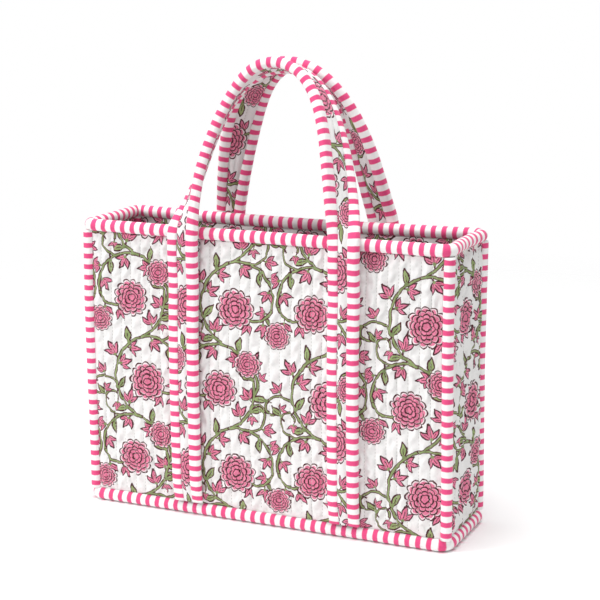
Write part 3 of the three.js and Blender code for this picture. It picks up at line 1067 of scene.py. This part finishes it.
def web_section(along, half, seed):
    """Outer cloth, then backing, of the padded web between the bindings: one channel on a leg, two on a handle."""
    x = np.linspace(-1, 1, 33)[None] * (half - WEB_INSET)
    within = np.clip(x / (half - sizes().binding), -1.3, 1.3)
    wide = smooth((half - LEG_HALF) / (HANDLE_HALF - LEG_HALF))
    one = np.clip(1 - within**2, 0, 1) ** 0.5
    two = np.clip(1 - (2 * np.abs(within) - 1) ** 2, 0, 1) ** 0.6
    crest = one * (1 - wide) + two * wide
    crumple = 1 + 0.15 * ripple(along, x, 11 * MM, seed, 10)
    y = STRAP_THICKNESS / 2 - WEB_SINK + WEB_RISE * crest * crumple
    return np.concatenate([x, x[:, ::-1]], 1), np.concatenate([y, -y[:, ::-1]], 1)


def binding_line(half, inset, count=25):
    """Half-section of a folded binding from its front lip round the strap's edge to its back lip."""
    angle = np.linspace(LIP_ANGLE, -LIP_ANGLE, count)[None]
    wide, thick = sizes().binding / 2, STRAP_THICKNESS / 2
    cosine, sine = np.cos(angle), np.sin(angle)
    x = half - wide + (wide - inset) * np.sign(cosine) * np.abs(cosine) ** FOLD_ROUNDNESS
    y = (thick - inset) * np.sign(sine) * np.abs(sine) ** FOLD_ROUNDNESS
    return x, y * np.ones_like(half)


def fold_section(along, half, seed, side):
    """Outside, then inside, of a binding folded round the strap's outer edge, side 1, or inner edge, side -1."""
    x, y = binding_line(half, 0.0)
    x_in, y_in = binding_line(half, FOLD_CLOTH)
    uneven = 0.10 * MM * ripple(along, y, 12 * MM, seed + 7 + side, 9)
    return (side * np.concatenate([x + uneven * 0.3, x_in[:, ::-1]], 1),
            np.concatenate([y + uneven * np.sign(y), y_in[:, ::-1]], 1))


def build_strap(name, handle, seed):
    """One padded strap with its two bindings, sewn to the bag below the rim and standing up above it."""
    path = strap_path(handle)
    parts = [f"{name}_handle", f"{name}_left_leg", f"{name}_right_leg"]
    hinge = next(j for j in frame["joints"] if j["child"] == f"{name}_handle")["pos_m"]
    start, end = ((0.0, hinge[1], hinge[2] + rise) for rise in (-BEND_BELOW, BEND_ABOVE))

    rings, along = strap_rings(path, lambda along, half: web_section(along, half, seed))
    girth = lengths(rings[len(rings) // 2])
    girth = np.append(girth, girth[-1] + 7 * MM)
    flat = np.stack(np.broadcast_arrays(girth[None] + seed * 0.05, along[:, None]), -1)
    strips = np.repeat([0, 1], rings.shape[1] // 2)
    made = skin(f"{name}_strap_web", settle(rings), flat, [print_cloth(), lining_cloth()], strips)
    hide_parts(*[f"{part}_{layer}" for part in parts for layer in ("face", "wadding", "backing")])
    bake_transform(made)

    places, _, out, half, _ = path
    valley = (half > HANDLE_HALF - 0.4 * MM) & (places[:, 2] > hinge[2] + 25 * MM)
    for side, away in (("face", 1), ("backing", -1)):
        line = places + away * (STRAP_THICKNESS / 2 - 1.8 * MM) * out
        sew(f"{name}_strap_{side}_stitches", [settle(line[valley])], f"{name}_handle")

    for edge, side in (("outer", 1), ("inner", -1)):
        rings, along = strap_rings(path, lambda along, half, side=side: fold_section(along, half, seed, side))
        girth = lengths(rings[0])
        flat = np.stack(np.broadcast_arrays(along[:, None], np.append(girth, girth[-1] + MM)[None]), -1)
        made = skin(f"{name}_strap_{edge}_binding", settle(rings), flat, [stripe_cloth()])
        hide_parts(*[f"{part}_{edge}_binding" for part in parts])
        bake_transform(made)


# ---- Stage ----
FLOOR_REACH, FLOOR_DROP, FLOOR_FADES_FROM, FLOOR_ENDS = 6.0, 0.4 * MM, 0.7, 1.5
AMBIENT, BACKDROP, LIT_POINT = 0.54, 1.0, Vector((0, 0, 0.2))
# Each light's place, size and power.
LIGHTS = {"key light": ((-1.9, -1.7, 1.5), 0.7, 32.0), "top light": ((0.1, -0.3, 2.4), 1.4, 44.0)}
CAMERA_PLACE, CAMERA_LENS, SENSOR = (0.6554, -1.3820, 0.5528), 93.74, 36.0
CAMERA_YAW, CAMERA_PITCH, CAMERA_ROLL = (math.radians(a) for a in (24.67, 12.29, -0.35))


def build_stage():
    """A white floor that fades out, soft light all round, two lights and the camera."""
    scene = bpy.context.scene
    floor_mesh = bpy.data.meshes.new("floor")
    corners = [(x * FLOOR_REACH, y * FLOOR_REACH, 0) for x, y in ((-1, -1), (1, -1), (1, 1), (-1, 1))]
    floor_mesh.from_pydata(corners, [], [(0, 1, 2, 3)])
    floor = bpy.data.objects.new("floor", floor_mesh)
    scene.collection.objects.link(floor)
    paper = Finish("white floor")
    paper.set(Base_Color=(0.97, 0.97, 0.97, 1), Roughness=0.9)
    paper.shader.inputs["Specular IOR Level"].default_value = 0.1
    away = paper.vector("LENGTH", paper.node("TexCoord", output=3), output=1)
    paper.set(Alpha=((FLOOR_ENDS - away) / (FLOOR_ENDS - FLOOR_FADES_FROM)).clamp())
    floor_mesh.materials.append(paper.material)
    floor.location.z = -FLOOR_DROP

    world = bpy.data.worlds.new("studio")
    world.use_nodes = True
    tree = world.node_tree
    soft, plain = tree.nodes["Background"], tree.nodes.new("ShaderNodeBackground")
    for background, strength in ((soft, AMBIENT), (plain, BACKDROP)):
        background.inputs["Strength"].default_value = strength
        background.inputs["Color"].default_value = (1, 1, 1, 1)
    choice, ray = tree.nodes.new("ShaderNodeMixShader"), tree.nodes.new("ShaderNodeLightPath")
    tree.links.new(ray.outputs["Is Camera Ray"], choice.inputs[0])
    tree.links.new(soft.outputs[0], choice.inputs[1])
    tree.links.new(plain.outputs[0], choice.inputs[2])
    tree.links.new(choice.outputs[0], tree.nodes["World Output"].inputs[0])
    scene.world = world
    scene.view_settings.view_transform = "Standard"

    for name, (place, size, power) in LIGHTS.items():
        light = bpy.data.lights.new(name, "AREA")
        light.size, light.energy = size, power
        lamp = bpy.data.objects.new(name, light)
        lamp.location = place
        lamp.rotation_euler = (LIT_POINT - Vector(place)).to_track_quat("-Z", "Y").to_euler()
        scene.collection.objects.link(lamp)

    camera = bpy.data.cameras.new("camera")
    camera.sensor_width, camera.lens = SENSOR, CAMERA_LENS
    eye = bpy.data.objects.new("camera", camera)
    yaw, pitch = CAMERA_YAW, CAMERA_PITCH
    back = Vector((math.sin(yaw) * math.cos(pitch), -math.cos(yaw) * math.cos(pitch), math.sin(pitch)))
    right = Vector((math.cos(yaw), math.sin(yaw), 0))
    turn = Matrix((right, back.cross(right), back)).transposed().to_4x4()
    eye.matrix_world = Matrix.Translation(CAMERA_PLACE) @ turn @ Matrix.Rotation(CAMERA_ROLL, 4, "Z")
    scene.collection.objects.link(eye)
    scene.camera = eye


# ---- Operators and panel ----
class TOTE_OT_panels(bpy.types.Operator):
    """Build the quilted panels and their linings"""

    bl_idname = "tote.panels"
    bl_label = "Quilted Panels"

    def execute(self, context):
        for wall in WALLS:
            build_wall(wall)
        build_base()
        return {"FINISHED"}


class TOTE_OT_rolls(bpy.types.Operator):
    """Build the striped rolls along the edges of the box"""

    bl_idname = "tote.rolls"
    bl_label = "Striped Rolls"

    def execute(self, context):
        build_loops()
        build_corner_rolls()
        return {"FINISHED"}


class TOTE_OT_handles(bpy.types.Operator):
    """Build the two padded strap handles"""

    bl_idname = "tote.handles"
    bl_label = "Strap Handles"

    def execute(self, context):
        for seed, (name, handle) in enumerate(HANDLES.items()):
            build_strap(name, handle, 71 + 20 * seed)
        return {"FINISHED"}


class TOTE_OT_stage(bpy.types.Operator):
    """Build the floor, the lights and the camera"""

    bl_idname = "tote.stage"
    bl_label = "Stage"

    def execute(self, context):
        build_stage()
        return {"FINISHED"}


OPERATORS = (TOTE_OT_panels, TOTE_OT_rolls, TOTE_OT_handles, TOTE_OT_stage)


class TOTE_PT_tools(bpy.types.Panel):
    """The tote's sizes, colours and builders"""

    bl_label = "Knitting Tote"
    bl_idname = "TOTE_PT_tools"
    bl_space_type = "VIEW_3D"
    bl_region_type = "UI"
    bl_category = "Knitting Tote"

    def draw(self, context):
        for group in (context.scene.tote_sizes, context.scene.tote_colours):
            for name in group.__annotations__:
                self.layout.prop(group, name)
        for operator in OPERATORS:
            self.layout.operator(operator.bl_idname)


CLASSES = (ToteSizes, ToteColours, *OPERATORS, TOTE_PT_tools)


def register():
    for cls in CLASSES:
        bpy.utils.register_class(cls)
    bpy.types.Scene.tote_sizes = PointerProperty(type=ToteSizes)
    bpy.types.Scene.tote_colours = PointerProperty(type=ToteColours)


def unregister():
    del bpy.types.Scene.tote_colours
    del bpy.types.Scene.tote_sizes
    for cls in reversed(CLASSES):
        bpy.utils.unregister_class(cls)


def main():
    """Registers the add-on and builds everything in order."""
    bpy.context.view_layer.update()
    register()
    bpy.ops.tote.panels()
    bpy.ops.tote.rolls()
    bpy.ops.tote.handles()
    bpy.ops.tote.stage()


if __name__ == "__main__":
    main()
